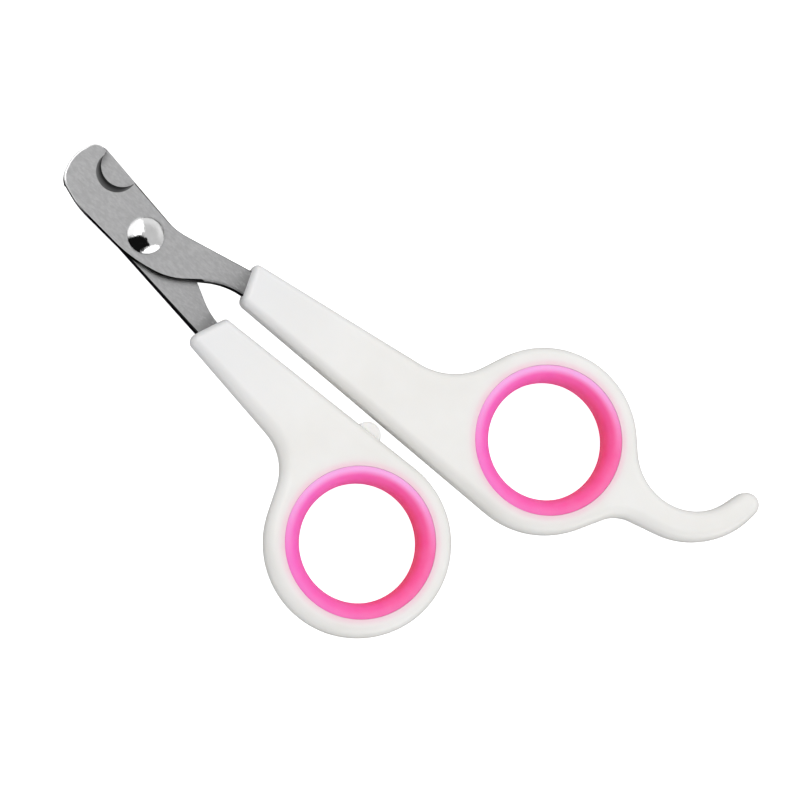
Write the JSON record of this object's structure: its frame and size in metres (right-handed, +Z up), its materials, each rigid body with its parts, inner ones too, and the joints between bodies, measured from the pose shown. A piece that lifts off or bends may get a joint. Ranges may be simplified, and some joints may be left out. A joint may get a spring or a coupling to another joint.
{
  "type": "pet nail trimmer",
  "caption": "Scissor-type trimmer for small pets' claws: notched steel blades on a rivet, white moulded handles with soft pink ring liners and a little finger rest.",
  "frame": {"origin": "on the table, under the middle of the closed trimmer's box; the rivet's axis stands at x = -45.465 mm, y = -2.1 mm, and the blades slide on each other at z = 3.25 mm", "axes": "+X from the rivet towards the finger rings, +Y towards the finger handle with the little finger rest, +Z up off the table, along the rivet towards its domed head"},
  "size_m": [0.1258, 0.0664, 0.0065],
  "materials": {
    "blade_steel": "fine satin grain on the faces, bright ground bevels and edges",
    "rivet_chrome": "polished nickel plating",
    "washer_steel": "plain zinc-grey stamped steel",
    "handle_plastic": "warm white moulded plastic, soft satin gloss",
    "liner_rubber": "smooth soft elastomer, bright pink, satin",
    "bumper_plastic": "milky soft elastomer"
  },
  "bodies": {
    "finger_half": {"front_blade": "blade_steel", "pivot_rivet": "rivet_chrome", "rivet_washer": "washer_steel", "finger_handle": "handle_plastic", "finger_ring_liner": "liner_rubber"},
    "thumb_half": {"rear_blade": "blade_steel", "thumb_handle": "handle_plastic", "thumb_ring_liner": "liner_rubber", "stop_bumper": "bumper_plastic"}
  },
  "joints": [
    {"name": "pivot", "type": "hinge", "parent": "finger_half", "child": "thumb_half", "pos_m": [-0.04546, -0.0021, 0.00325], "axis": [0, 0, -1], "range_deg": [0, 60]}
  ]
}
